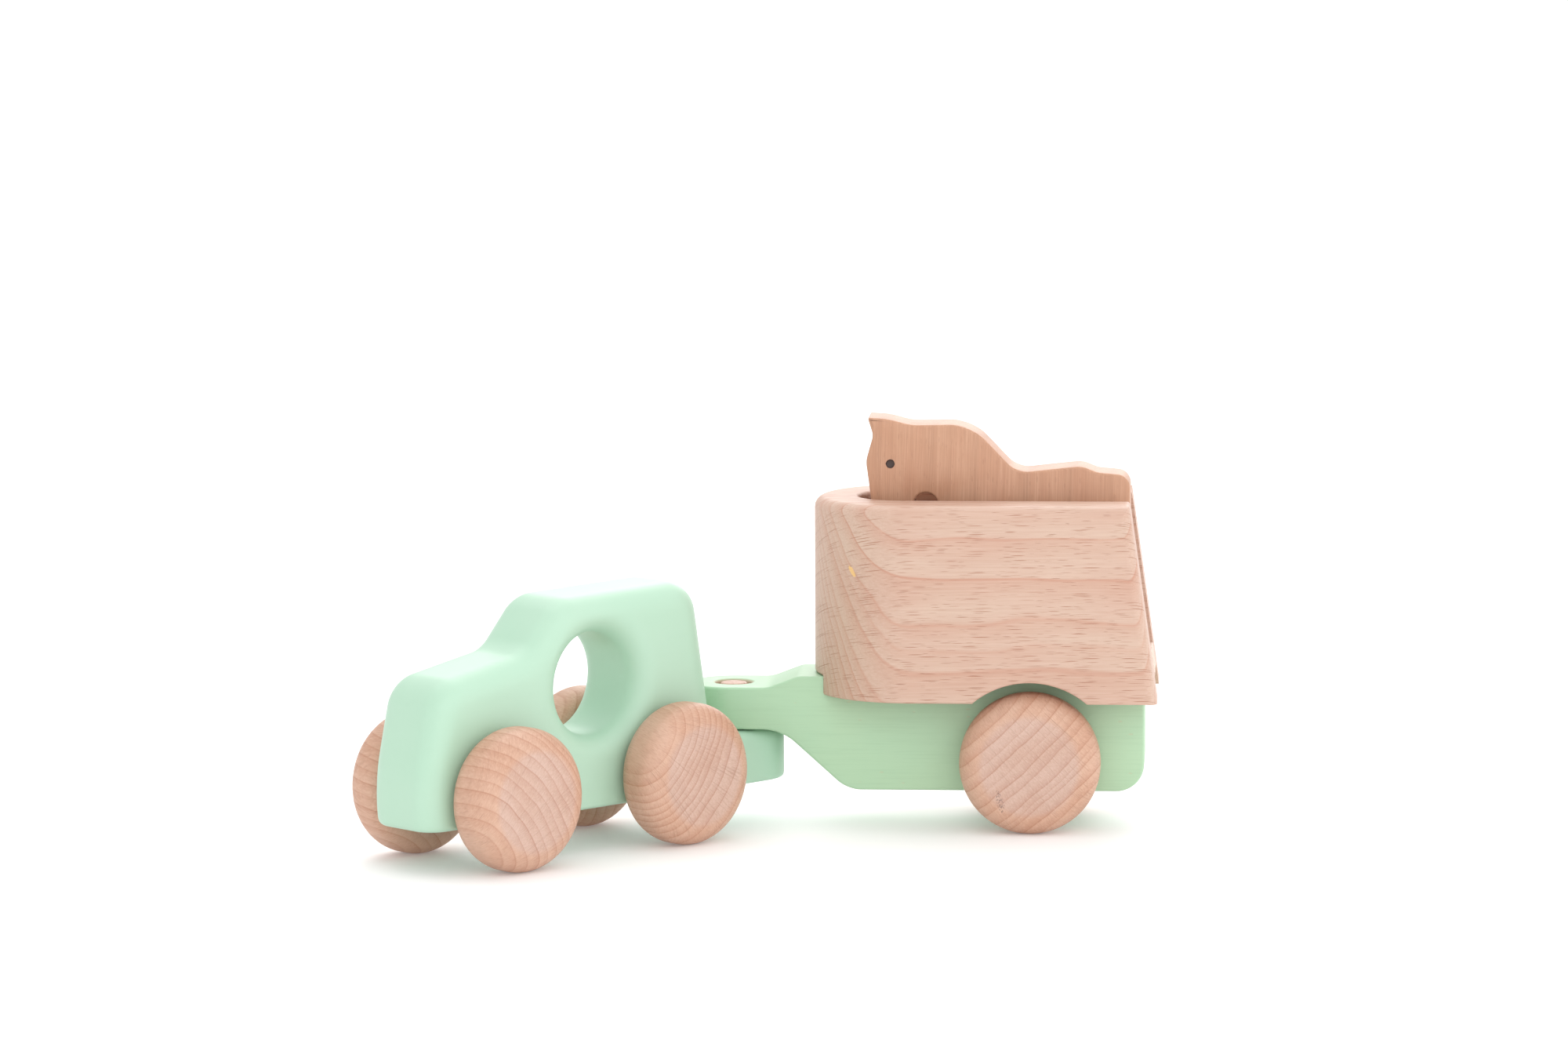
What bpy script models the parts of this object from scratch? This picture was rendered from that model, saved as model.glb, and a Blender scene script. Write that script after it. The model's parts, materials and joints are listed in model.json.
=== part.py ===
"""Wooden toy car towing a horse-box trailer with a loose horse.

Metres, +Z up.  X runs along the trailer, from its hitch pin to its open rear end.
The car is turned about the hitch pin, so the toy stands with its two halves at an angle.
The origin is on the floor, under the middle of the whole toy's bounding box.
"""
import math

import bmesh
import bpy
from mathutils import Matrix, Vector

FIT_GAP = 0.0003             # left between pieces that touch or are glued

# wheels and axles
WHEEL_RADIUS = 0.025
WHEEL_THICKNESS = 0.020
WHEEL_ROUND = 0.0082         # rounding of both rims
AXLE_RADIUS = 0.0032
AXLE_BORE_RADIUS = 0.0039    # bore that the axle turns in
AXLE_SINK = 0.010            # depth of the blind hole in each wheel
TRACK = 0.0535               # between the middles of a left and a right wheel

# hitch
PIN_RADIUS = 0.0048
PIN_HOLE_RADIUS = 0.0067
PIN_TOP = 0.0492
PIN_FOOT = 0.0195            # bottom of the blind hole in the car's platform
HITCH_ANGLE = math.radians(47.6)   # the car's axis against the trailer's, at rest

# car, with X measured from the hitch pin, the front towards -X
CAR_WIDTH = 0.0326
CAR_FLOOR = 0.0148
CAR_EDGE_ROUND = 0.009
CAR_FLOOR_ROUND = 0.0022
PLATFORM_TOP = 0.0338
PLATFORM_ROUND = 0.0040      # rounding of the platform's top edge, clear of the tongue's bend
PLATFORM_EDGE = 0.0005
PLATFORM_INSET = 0.00015     # how far the platform stays inside the car's side and floor
PLATFORM_END = 0.0024        # centre of the platform's rounded end
REAR_AXLE_X = -0.0488
WHEELBASE = 0.0783
WINDOW_X = -0.0785
WINDOW_Z = 0.0582
WINDOW_RADIUS = 0.0180
WINDOW_FLARE = 0.0085        # rounding of the window's rims

# trailer base board with its tongue
BASE_WIDTH = 0.0310
BASE_FLOOR = 0.0129
BASE_TOP = 0.0536
BASE_REAR = 0.1470
TONGUE_UNDER = 0.0343
TONGUE_TOP = 0.0494
BASE_EDGE = 0.0006
TRAILER_AXLE_X = 0.1068

# trailer box
BOX_WIDTH = 0.0704
BOX_FRONT = 0.0293
BOX_FLOOR = 0.0470
BOX_TOP = 0.1169
BOX_REAR_FLOOR = 0.1517      # rear edge at the bottom
BOX_REAR_TOP = 0.1418        # rear edge at the top
BOX_EDGE_ROUND = 0.004
SLOT_FRONT = 0.0450
ARCH_RADIUS = 0.0310
ARCH_Z = 0.0235

# floor board in the box
DECK_THICKNESS = 0.0084

# horse
HORSE_THICKNESS = 0.0190
HORSE_EDGE = 0.0008

TURN_STEPS = 40              # facets round a wheel
ARC_SAG = 0.00004            # how far a facet may lie off its true arc


# ---------------------------------------------------------------- helpers
def clear_scene():
    for obj in list(bpy.data.objects):
        bpy.data.objects.remove(obj, do_unlink=True)


def paint(name, colour, roughness):
    """A Principled material of one colour."""
    mat = bpy.data.materials.new(name)
    mat.use_nodes = True
    shader = mat.node_tree.nodes["Principled BSDF"]
    shader.inputs["Base Color"].default_value = (*colour, 1.0)
    shader.inputs["Roughness"].default_value = roughness
    shader.inputs["Metallic"].default_value = 0.0
    return mat


def mint_paint():
    return paint("mint_paint", (0.56, 0.83, 0.64), 0.35)


def beech():
    return paint("beech", (0.76, 0.53, 0.40), 0.55)


def end_grain():
    return paint("beech_end_grain", (0.70, 0.46, 0.35), 0.55)


def dark_board():
    return paint("horse_wood", (0.62, 0.37, 0.25), 0.55)


def rounded_outline(corners):
    """Points round a closed outline, from corners (u, v, radius)."""
    points = []
    count = len(corners)
    for index, (u, v, radius) in enumerate(corners):
        here = Vector((u, v))
        before = Vector(corners[index - 1][:2]) - here
        after = Vector(corners[(index + 1) % count][:2]) - here
        turn = math.pi - before.angle(after)
        if radius == 0 or turn < 1e-4:
            points.append(here)
            continue
        reach = radius * math.tan(turn / 2)
        middle = (before.normalized() + after.normalized()).normalized()
        centre = here + middle * math.hypot(reach, radius)
        start = here + before.normalized() * reach - centre
        end = here + after.normalized() * reach - centre
        steps = max(2, math.ceil(turn / (2 * math.acos(1 - ARC_SAG / radius))))
        sweep = start.angle_signed(end)
        for step in range(steps + 1):
            arm = start.copy()
            arm.rotate(Matrix.Rotation(-sweep * step / steps, 2))
            points.append(centre + arm)
    return points


def arc(u, v, radius, start, end, steps):
    """Points along an arc about (u, v), with angles in degrees."""
    points = []
    for step in range(steps + 1):
        angle = math.radians(start + (end - start) * step / steps)
        points.append(Vector((u + radius * math.cos(angle), v + radius * math.sin(angle))))
    return points


def prism(outline, low, high, upright):
    """A bmesh of an outline pulled from low to high.

    An upright prism has its outline in XY and grows along Z.
    The others have their outline in XZ and grow along Y.
    """
    bm = bmesh.new()
    if upright:
        verts = [bm.verts.new((p.x, p.y, low)) for p in outline]
        pull = Vector((0, 0, high - low))
    else:
        verts = [bm.verts.new((p.x, low, p.y)) for p in outline]
        pull = Vector((0, high - low, 0))
    face = bm.faces.new(verts)
    grown = bmesh.ops.extrude_face_region(bm, geom=[face])
    moved = [item for item in grown["geom"] if isinstance(item, bmesh.types.BMVert)]
    bmesh.ops.translate(bm, verts=moved, vec=pull)
    bmesh.ops.recalc_face_normals(bm, faces=bm.faces)
    return bm


def cap_edges(bm, axis):
    """The edges round the two end faces of a prism that grew along an axis."""
    values = [vert.co[axis] for vert in bm.verts]
    ends = (min(values), max(values))
    found = []
    for edge in bm.edges:
        a, b = (vert.co[axis] for vert in edge.verts)
        if abs(a - b) < 1e-7 and min(abs(a - ends[0]), abs(a - ends[1])) < 1e-7:
            found.append(edge)
    return found


def soften(bm, edges, width, segments):
    bmesh.ops.bevel(bm, geom=edges, offset=width, offset_type="OFFSET", segments=segments,
                    profile=0.5, affect="EDGES", clamp_overlap=False, material=-1)


def turned(profile, steps):
    """A body of revolution about Z, from profile points (radius, z)."""
    bm = bmesh.new()
    verts = [bm.verts.new((p[0], 0, p[1])) for p in profile]
    edges = [bm.edges.new(pair) for pair in zip(verts, verts[1:])]
    bmesh.ops.spin(bm, geom=verts + edges, cent=(0, 0, 0), axis=(0, 0, 1),
                   angle=math.tau, steps=steps, use_merge=True, use_duplicate=False)
    bmesh.ops.remove_doubles(bm, verts=bm.verts, dist=1e-6)
    bmesh.ops.recalc_face_normals(bm, faces=bm.faces)
    return bm


def rod(radius, low, high, steps=24):
    """A plain round rod along Z."""
    return turned([(0, low), (radius, low), (radius, high), (0, high)], steps)


def lay_across(bm):
    """Turn a shape made along Z so that it lies along Y."""
    bmesh.ops.rotate(bm, verts=bm.verts, cent=(0, 0, 0), matrix=Matrix.Rotation(math.pi / 2, 3, "X"))


def shift(bm, x=0.0, y=0.0, z=0.0):
    bmesh.ops.translate(bm, verts=bm.verts, vec=(x, y, z))


def node(name, bm, material, parent, smooth=True):
    """A named object from a bmesh, under a parent empty."""
    mesh = bpy.data.meshes.new(name)
    bm.to_mesh(mesh)
    bm.free()
    obj = bpy.data.objects.new(name, mesh)
    bpy.context.collection.objects.link(obj)
    mesh.materials.append(material)
    if smooth:
        mesh.shade_smooth()
        mesh.set_sharp_from_angle(angle=math.radians(35))
    obj.parent = parent
    return obj


def pivot(name, location, parent=None, turn=0.0):
    empty = bpy.data.objects.new(name, None)
    bpy.context.collection.objects.link(empty)
    empty.location = location
    empty.rotation_euler = (0, 0, turn)
    empty.parent = parent
    return empty


def carve(obj, bm, operation="DIFFERENCE"):
    """Cut an object with a bmesh, and keep the cutter as a hidden wire object."""
    cutter = node(f"{obj.name}_cutter_{len(obj.modifiers)}", bm, obj.data.materials[0], obj.parent)
    cutter.hide_render = True
    cutter.display_type = "WIRE"
    cutter.location = obj.location
    mod = obj.modifiers.new("cut", "BOOLEAN")
    mod.operation = operation
    mod.solver = "EXACT"
    mod.object = cutter
    return cutter


# ---------------------------------------------------------------- wheels
def wheel_mesh(side):
    """A turned wheel about Y, its blind hole facing the car or the trailer."""
    half = WHEEL_THICKNESS / 2
    hole = AXLE_RADIUS + FIT_GAP
    flat = WHEEL_RADIUS - WHEEL_ROUND
    bend = half - WHEEL_ROUND
    profile = [(0, AXLE_SINK - half), (hole, AXLE_SINK - half), (hole, -half)]
    profile += arc(flat, -bend, WHEEL_ROUND, -90, 0, 4)
    profile += arc(flat, bend, WHEEL_ROUND, 0, 90, 4)
    profile.append((0, half))
    bm = turned(profile, TURN_STEPS)
    lay_across(bm)
    if side > 0:
        bmesh.ops.rotate(bm, verts=bm.verts, cent=(0, 0, 0), matrix=Matrix.Rotation(math.pi, 3, "Z"))
    return bm


def wheel_pair(name, axle_x, parent):
    """An axle and its two wheels, which turn together about the axle's line."""
    hub = pivot(f"{name}_axle_line", (axle_x, 0, WHEEL_RADIUS), parent)
    reach = TRACK / 2 - WHEEL_THICKNESS / 2 + AXLE_SINK - FIT_GAP
    axle = rod(AXLE_RADIUS, -reach, reach)
    lay_across(axle)
    node(f"{name}_axle", axle, beech(), hub)
    for label, side in (("left", 1), ("right", -1)):
        # the front is towards -X, so the left hand is towards -Y
        wheel = wheel_mesh(-side)
        shift(wheel, y=-side * TRACK / 2)
        node(f"{name}_wheel_{label}", wheel, end_grain(), hub)


# ---------------------------------------------------------------- car
def car_outline():
    """Side view of the car's cab and bonnet, with the platform left off."""
    drop = CAR_FLOOR - CAR_EDGE_ROUND   # cut off again at the car's floor
    return rounded_outline([
        (-0.1570, drop, 0),
        (-0.1598, 0.0290, 0.060),
        (-0.1515, 0.0652, 0.0130),
        (-0.1105, 0.0722, 0.0130),
        (-0.0950, 0.0895, 0.0130),
        (-0.0310, 0.0905, 0.0120),
        (-0.0225, 0.0400, 0.050),
        (-0.0225, drop, 0),
    ])


def window_cutter():
    """The round window with its flared rims, about Y."""
    half = CAR_WIDTH / 2
    throat = half - WINDOW_FLARE
    mouth = WINDOW_RADIUS + WINDOW_FLARE
    outer = 0.004
    profile = [(0, -half - outer), (mouth, -half - outer)]
    profile += arc(mouth, -throat, WINDOW_FLARE, 270, 180, 4)
    profile += arc(mouth, throat, WINDOW_FLARE, 180, 90, 4)
    profile += [(mouth, half + outer), (0, half + outer)]
    bm = turned(profile, 36)
    lay_across(bm)
    shift(bm, x=WINDOW_X, z=WINDOW_Z)
    return bm


def platform_mesh():
    """The low plate behind the car, round at its end, under the trailer's tongue."""
    half = CAR_WIDTH / 2 - PLATFORM_INSET
    outline = arc(PLATFORM_END, 0, half, -90, 90, 12)
    outline += [Vector((-0.042, half)), Vector((-0.042, -half))]
    bm = prism(outline, CAR_FLOOR + PLATFORM_INSET, PLATFORM_TOP, upright=True)
    edges = cap_edges(bm, 2)
    top = [edge for edge in edges if edge.verts[0].co.z > WHEEL_RADIUS]
    soften(bm, [edge for edge in edges if edge not in top], PLATFORM_EDGE, 1)
    top = [edge for edge in cap_edges(bm, 2) if edge.verts[0].co.z > WHEEL_RADIUS]
    soften(bm, top, PLATFORM_ROUND, 4)
    return bm


def build_car(parent):
    half = CAR_WIDTH / 2
    bm = prism(car_outline(), -half, half, upright=False)
    soften(bm, cap_edges(bm, 1), CAR_EDGE_ROUND, 4)
    cut = bmesh.ops.bisect_plane(bm, geom=bm.verts[:] + bm.edges[:] + bm.faces[:], dist=1e-6,
                                 plane_co=(0, 0, CAR_FLOOR), plane_no=(0, 0, -1), clear_outer=True)
    rim = [item for item in cut["geom_cut"] if isinstance(item, bmesh.types.BMEdge)]
    bmesh.ops.holes_fill(bm, edges=rim, sides=0)
    bmesh.ops.recalc_face_normals(bm, faces=bm.faces)
    floor_edges = [edge for edge in bm.edges
                   if all(abs(vert.co.z - CAR_FLOOR) < 1e-6 for vert in edge.verts)]
    soften(bm, floor_edges, CAR_FLOOR_ROUND, 2)
    body = node("car_body", bm, mint_paint(), parent)
    carve(body, platform_mesh(), "UNION")
    carve(body, window_cutter())
    for axle_x in (REAR_AXLE_X, REAR_AXLE_X - WHEELBASE):
        bore = rod(AXLE_BORE_RADIUS, -CAR_WIDTH, CAR_WIDTH)
        lay_across(bore)
        shift(bore, x=axle_x, z=WHEEL_RADIUS)
        carve(body, bore)
    carve(body, rod(PIN_RADIUS + FIT_GAP, PIN_FOOT, PLATFORM_TOP + 0.01))
    wheel_pair("rear", REAR_AXLE_X, parent)
    wheel_pair("front", REAR_AXLE_X - WHEELBASE, parent)


def build_pin(parent):
    """The round peg that the trailer's tongue drops over."""
    ease = 0.0008
    low = PIN_FOOT + FIT_GAP
    profile = [(0, low), (PIN_RADIUS - ease, low), (PIN_RADIUS, low + ease),
               (PIN_RADIUS, PIN_TOP - ease), (PIN_RADIUS - ease, PIN_TOP), (0, PIN_TOP)]
    node("hitch_pin", turned(profile, 28), beech(), parent)


# ---------------------------------------------------------------- trailer
def base_outline():
    """Side view of the trailer's base board and its raised tongue."""
    return rounded_outline([
        (-0.0200, TONGUE_UNDER, 0),
        (0.0178, TONGUE_UNDER, 0.016),
        (0.0415, BASE_FLOOR, 0.012),
        (BASE_REAR, BASE_FLOOR, 0.0100),
        (BASE_REAR, BASE_TOP, 0.0010),
        (0.0240, BASE_TOP, 0.006),
        (0.0130, TONGUE_TOP, 0.010),
        (-0.0200, TONGUE_TOP, 0),
    ])


def build_base(parent):
    half = BASE_WIDTH / 2
    bm = prism(base_outline(), -half, half, upright=False)
    soften(bm, cap_edges(bm, 1), BASE_EDGE, 1)
    base = node("trailer_base", bm, mint_paint(), parent)
    plan = arc(0, 0, half, 90, 270, 16)
    plan += [Vector((0.160, -half - 0.001)), Vector((0.160, half + 0.001))]
    carve(base, prism(plan, 0, 0.1, upright=True), "INTERSECT")
    carve(base, rod(PIN_HOLE_RADIUS, 0.02, 0.06, steps=32))
    bore = rod(AXLE_BORE_RADIUS, -BASE_WIDTH, BASE_WIDTH)
    lay_across(bore)
    shift(bore, x=TRAILER_AXLE_X, z=WHEEL_RADIUS)
    carve(base, bore)


def rear_x(z):
    """The sloping rear edge's X at a height."""
    share = (z - BOX_FLOOR) / (BOX_TOP - BOX_FLOOR)
    return BOX_REAR_FLOOR + (BOX_REAR_TOP - BOX_REAR_FLOOR) * share


def slot_outline(half, front, back):
    outline = arc(front + half, 0, half, 90, 270, 14)
    return outline + [Vector((back, -half)), Vector((back, half))]


def slice_off(bm, point, normal):
    """Cut away what lies on the normal's side of a plane and close the cut."""
    cut = bmesh.ops.bisect_plane(bm, geom=bm.verts[:] + bm.edges[:] + bm.faces[:], dist=1e-6,
                                 plane_co=point, plane_no=normal, clear_outer=True)
    rim = [item for item in cut["geom_cut"] if isinstance(item, bmesh.types.BMEdge)]
    bmesh.ops.holes_fill(bm, edges=rim, sides=0)
    bmesh.ops.recalc_face_normals(bm, faces=bm.faces)


def rear_normal():
    lean = Vector((BOX_REAR_FLOOR - BOX_REAR_TOP, 0, BOX_TOP - BOX_FLOOR))
    return Vector((lean.z, 0, lean.x)).normalized()


def build_box(parent):
    half = BOX_WIDTH / 2
    inner = BASE_WIDTH / 2 + FIT_GAP
    plan = arc(BOX_FRONT + half, 0, half, 90, 270, 24)
    plan += [Vector((0.170, -half)), Vector((0.170, half))]
    bm = prism(plan, BOX_FLOOR, BOX_TOP, upright=True)
    normal = rear_normal()
    slice_off(bm, (BOX_REAR_FLOOR, 0, BOX_FLOOR), normal)
    outer = []
    for edge in bm.edges:
        ends = [vert.co for vert in edge.verts]
        top = all(abs(co.z - BOX_TOP) < 1e-6 for co in ends)
        rear = all(abs(co.x - rear_x(co.z)) < 1e-6 for co in ends)
        across = abs(ends[0].y - ends[1].y) > BOX_WIDTH / 2
        if (top and not across) or (rear and not across):
            outer.append(edge)
    soften(bm, outer, BOX_EDGE_ROUND, 3)
    box = node("trailer_box", bm, beech(), parent)
    carve(box, prism(slot_outline(inner, SLOT_FRONT, 0.2), 0.02, 0.14, upright=True))
    notch = [Vector((0.02, -inner)), Vector((0.07, -inner)), Vector((0.07, inner)), Vector((0.02, inner))]
    carve(box, prism(notch, BOX_FLOOR - 0.01, BASE_TOP + FIT_GAP, upright=True))
    arch = rod(ARCH_RADIUS, -BOX_WIDTH, BOX_WIDTH, steps=64)
    lay_across(arch)
    shift(arch, x=TRAILER_AXLE_X, z=ARCH_Z)
    carve(box, arch)


def build_deck(parent):
    """The floor board that the horse stands on."""
    low = BASE_TOP + FIT_GAP
    half = BASE_WIDTH / 2
    bm = prism(slot_outline(half, SLOT_FRONT + FIT_GAP, 0.17), low, low + DECK_THICKNESS, upright=True)
    slice_off(bm, (BOX_REAR_FLOOR, 0, BOX_FLOOR), rear_normal())
    node("trailer_floor", bm, beech(), parent)


# ---------------------------------------------------------------- horse
def horse_outline(foot):
    """Side view of the horse, head bent down at the front and hooves at foot height."""
    return rounded_outline([
        (0.0486, 0.1455, 0.0006),
        (0.0506, 0.1392, 0.005),
        (0.0480, 0.1300, 0.008),
        (0.0500, 0.1150, 0.020),
        (0.0505, 0.0960, 0.0050),
        (0.0580, 0.0920, 0.0060),
        (0.0650, 0.0975, 0.0060),
        (0.0650, 0.1187, 0.0042),
        (0.0735, 0.1187, 0.0042),
        (0.0735, 0.0960, 0.010),
        (0.0745, foot, 0.0015),
        (0.0885, foot, 0.0015),
        (0.0905, 0.0960, 0.011),
        (0.1145, 0.0960, 0.011),
        (0.1175, foot, 0.0015),
        (0.1325, foot, 0.0015),
        (0.1340, 0.0860, 0.010),
        (0.1417, 0.1050, 0.012),
        (0.1417, 0.1252, 0.0050),
        (0.1300, 0.1262, 0.008),
        (0.1245, 0.1285, 0.008),
        (0.1015, 0.1260, 0.009),
        (0.0850, 0.1432, 0.017),
        (0.0640, 0.1428, 0.020),
        (0.0560, 0.1450, 0.020),
    ])


def build_horse(parent):
    foot = BASE_TOP + DECK_THICKNESS + 2 * FIT_GAP
    half = HORSE_THICKNESS / 2
    bm = prism(horse_outline(foot), -half, half, upright=False)
    soften(bm, cap_edges(bm, 1), HORSE_EDGE, 1)
    node("horse", bm, dark_board(), parent)


def build_trailer(parent):
    build_base(parent)
    build_box(parent)
    build_deck(parent)
    wheel_pair("trailer", TRAILER_AXLE_X, parent)
    build_horse(parent)


def stand_on_origin(root):
    """Move the whole toy so that the origin is under the middle of its bounding box."""
    bpy.context.view_layer.update()
    points = []
    for obj in bpy.data.objects:
        if obj.type == "MESH" and not obj.hide_render:
            points += [obj.matrix_world @ Vector(corner) for corner in world_points(obj)]
    middle_x = (min(p.x for p in points) + max(p.x for p in points)) / 2
    middle_y = (min(p.y for p in points) + max(p.y for p in points)) / 2
    root.location = (-middle_x, -middle_y, 0)
    bpy.context.view_layer.update()


def world_points(obj):
    """The points of an object's finished mesh, in its own coordinates."""
    finished = obj.evaluated_get(bpy.context.evaluated_depsgraph_get())
    return [vert.co.copy() for vert in finished.data.vertices]


def build():
    clear_scene()
    pin_line = pivot("hitch_pin_line", (0, 0, 0))
    car = pivot("car", (0, 0, 0), pin_line, HITCH_ANGLE)
    trailer = pivot("trailer", (0, 0, 0), pin_line)
    build_car(car)
    build_pin(pin_line)
    build_trailer(trailer)
    stand_on_origin(pin_line)


build()
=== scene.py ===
import json
import math

import bmesh
import bpy
from mathutils import Euler, Matrix, Vector


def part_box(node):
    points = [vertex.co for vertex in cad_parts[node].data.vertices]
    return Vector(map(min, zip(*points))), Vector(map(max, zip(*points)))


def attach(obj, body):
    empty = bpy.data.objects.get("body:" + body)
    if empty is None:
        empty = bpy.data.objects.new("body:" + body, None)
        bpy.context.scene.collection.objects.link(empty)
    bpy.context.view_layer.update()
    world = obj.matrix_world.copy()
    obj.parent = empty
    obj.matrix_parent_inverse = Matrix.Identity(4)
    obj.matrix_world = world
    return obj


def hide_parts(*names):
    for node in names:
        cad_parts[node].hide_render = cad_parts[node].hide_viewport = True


# A painted wooden car pulls a horse-box trailer, and a flat wooden horse stands in the box.
# Lengths are in metres. Side views are given from the hitch pin, with the front towards -X.
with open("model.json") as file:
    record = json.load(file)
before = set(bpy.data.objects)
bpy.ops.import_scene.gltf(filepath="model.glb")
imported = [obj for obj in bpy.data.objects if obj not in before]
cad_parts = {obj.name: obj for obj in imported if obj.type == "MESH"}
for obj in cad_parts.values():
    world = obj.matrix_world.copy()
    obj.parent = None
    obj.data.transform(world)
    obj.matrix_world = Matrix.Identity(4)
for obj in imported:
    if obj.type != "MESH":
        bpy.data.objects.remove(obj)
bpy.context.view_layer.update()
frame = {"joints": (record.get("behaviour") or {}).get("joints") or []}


def middleOf(node):
    low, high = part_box(node)
    return (low + high) / 2


def jointPlace(name):
    return Vector(next(joint["pos_m"] for joint in frame["joints"] if joint["name"] == name))


pinPlace = jointPlace("hitch_swing") * Vector((1, 1, 0))
carRun = middleOf("rear_axle") - middleOf("front_axle")
carTurn = math.atan2(carRun.y, carRun.x)   # the car stands at an angle to the trailer
carSpin = Matrix.Rotation(carTurn, 3, "Z")
wheelHeight = middleOf("trailer_axle").z
print("frame: car turned", round(math.degrees(carTurn), 1), "degrees against the trailer")


# shapes
smoothLimit = math.radians(33)   # sharper edges than this stay crisp
easeFrom = math.radians(40)      # sharper edges than this get eased
arcStep = math.radians(5)        # one facet of a rounded corner
tiny = 1e-6                      # points closer than this are one point
nearlyRound = 0.9995             # a rounded end's radius, as a share of half the width
tongueRound = 0.999              # the same for the tongue and the platform under it


def tidyShell(bm):
    bmesh.ops.remove_doubles(bm, verts=bm.verts, dist=tiny)
    bmesh.ops.recalc_face_normals(bm, faces=bm.faces)


def vertsOf(parts):
    return [part for part in parts if isinstance(part, bmesh.types.BMVert)]


def pullUp(bm, face, vec):
    grown = bmesh.ops.extrude_face_region(bm, geom=[face])
    bmesh.ops.translate(bm, verts=vertsOf(grown["geom"]), vec=vec)
    bmesh.ops.recalc_face_normals(bm, faces=bm.faces)


def roundEdges(bm, edges, width, segments):
    bmesh.ops.bevel(bm, geom=edges, offset=width, offset_type="OFFSET", segments=segments,
                    profile=0.5, affect="EDGES", clamp_overlap=False, material=-1)


def block(corners, low, high, upright=False):
    # a board cut to an outline: each corner is (u, v, radius), and the board is low to high thick
    bm = bmesh.new()
    spots = [Vector((u, v, low)) if upright else Vector((u, low, v)) for u, v, radius in corners]
    grow = Vector((0, 0, high - low)) if upright else Vector((0, high - low, 0))
    pullUp(bm, bm.faces.new([bm.verts.new(spot) for spot in spots]), grow)
    for index, spot in enumerate(spots):
        radius = corners[index][2]
        before = spots[index - 1] - spot
        after = spots[(index + 1) % len(spots)] - spot
        bend = math.pi - before.angle(after)
        if radius == 0 or bend < 1e-3:
            continue
        middle = spot + grow / 2
        edge = min(bm.edges, key=lambda e: ((e.verts[0].co + e.verts[1].co) / 2 - middle).length)
        width = radius * math.tan(bend / 2)
        roundEdges(bm, [edge], width, max(2, math.ceil(bend / arcStep)))
    bmesh.ops.recalc_face_normals(bm, faces=bm.faces)
    return bm


def faceEdges(bm, axis, limits):
    # edges between a flat end face and what stands on it
    found = []
    for edge in bm.edges:
        a, b = (vert.co[axis] for vert in edge.verts)
        if abs(a - b) < tiny and any(abs(a - limit) < tiny for limit in limits):
            found.append(edge)
    return found


def sharpEdges(bm, keep=lambda edge: True):
    return [edge for edge in bm.edges if len(edge.link_faces) == 2
            and edge.calc_face_angle(0) > easeFrom and keep(edge)]


def sliceOff(bm, point, normal):
    cut = bmesh.ops.bisect_plane(bm, geom=bm.verts[:] + bm.edges[:] + bm.faces[:], dist=tiny,
                                 plane_co=point, plane_no=normal, clear_outer=True)
    rim = [part for part in cut["geom_cut"] if isinstance(part, bmesh.types.BMEdge)]
    bmesh.ops.holes_fill(bm, edges=rim, sides=0)
    bmesh.ops.recalc_face_normals(bm, faces=bm.faces)


def quarterTurn(sign=1):
    return Matrix.Rotation(sign * math.pi / 2, 3, "X")


def rod(radius, low, high, segments=48, axis="Z"):
    bm = bmesh.new()
    bmesh.ops.create_cone(bm, cap_ends=True, segments=segments, radius1=radius, radius2=radius,
                          depth=high - low)
    bmesh.ops.translate(bm, verts=bm.verts, vec=(0, 0, (low + high) / 2))
    if axis == "Y":
        bmesh.ops.rotate(bm, verts=bm.verts, cent=(0, 0, 0), matrix=quarterTurn())
    return bm


def moved(bm, vec=(0, 0, 0), spin=None):
    if spin is not None:
        bmesh.ops.rotate(bm, verts=bm.verts, cent=(0, 0, 0), matrix=spin)
    bmesh.ops.translate(bm, verts=bm.verts, vec=vec)
    return bm


def looseObject(name, bm):
    mesh = bpy.data.meshes.new(name)
    bm.to_mesh(mesh)
    bm.free()
    piece = bpy.data.objects.new(name, mesh)
    bpy.context.scene.collection.objects.link(piece)
    return piece


def applyModifiers(piece):
    graph = bpy.context.evaluated_depsgraph_get()
    finished = bpy.data.meshes.new_from_object(piece.evaluated_get(graph))
    rough = piece.data
    piece.modifiers.clear()
    piece.data = finished
    bpy.data.meshes.remove(rough)


def carve(piece, bm, operation="DIFFERENCE"):
    cutter = looseObject("cutter", bm)
    cut = piece.modifiers.new("cut", "BOOLEAN")
    cut.operation = operation
    cut.solver = "EXACT"
    cut.object = cutter
    applyModifiers(piece)
    bpy.data.objects.remove(cutter, do_unlink=True)


def reshape(piece, change):
    # run bmesh edits on a piece's mesh
    bm = bmesh.new()
    bm.from_mesh(piece.data)
    tidyShell(bm)
    change(bm)
    tidyShell(bm)
    bm.to_mesh(piece.data)
    bm.free()


def finishPiece(piece, material, body, node):
    piece.data.materials.clear()
    piece.data.materials.append(material)
    piece.data.shade_smooth()
    piece.data.set_sharp_from_angle(angle=smoothLimit)
    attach(piece, body)
    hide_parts(node)
    print(f"{piece.name}: {len(piece.data.polygons)} faces")


# materials
ringsPerRamp = 7              # four stops each, and a ramp holds at most 32
cloudScale = (25, 90, 60)     # broad light and dark patches in wood, per metre
paintClouds = (22, 22, 22)    # the same in paint
raggedScale = (900, 900, 900)
woodSpecular = 0.50
paintSpecular = 0.42
coatRoughness = 0.30
endless = 1000                # an oval this deep runs right through a piece


def plug(tree, value, socket):
    # a number sets a socket, and an output is linked to it
    if isinstance(value, bpy.types.NodeSocket):
        tree.links.new(value, socket)
    else:
        socket.default_value = value


def sums(tree, operation, *values):
    knot = tree.nodes.new("ShaderNodeMath")
    knot.operation = operation
    for value, socket in zip(values, knot.inputs):
        plug(tree, value, socket)
    return knot.outputs[0]


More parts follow.
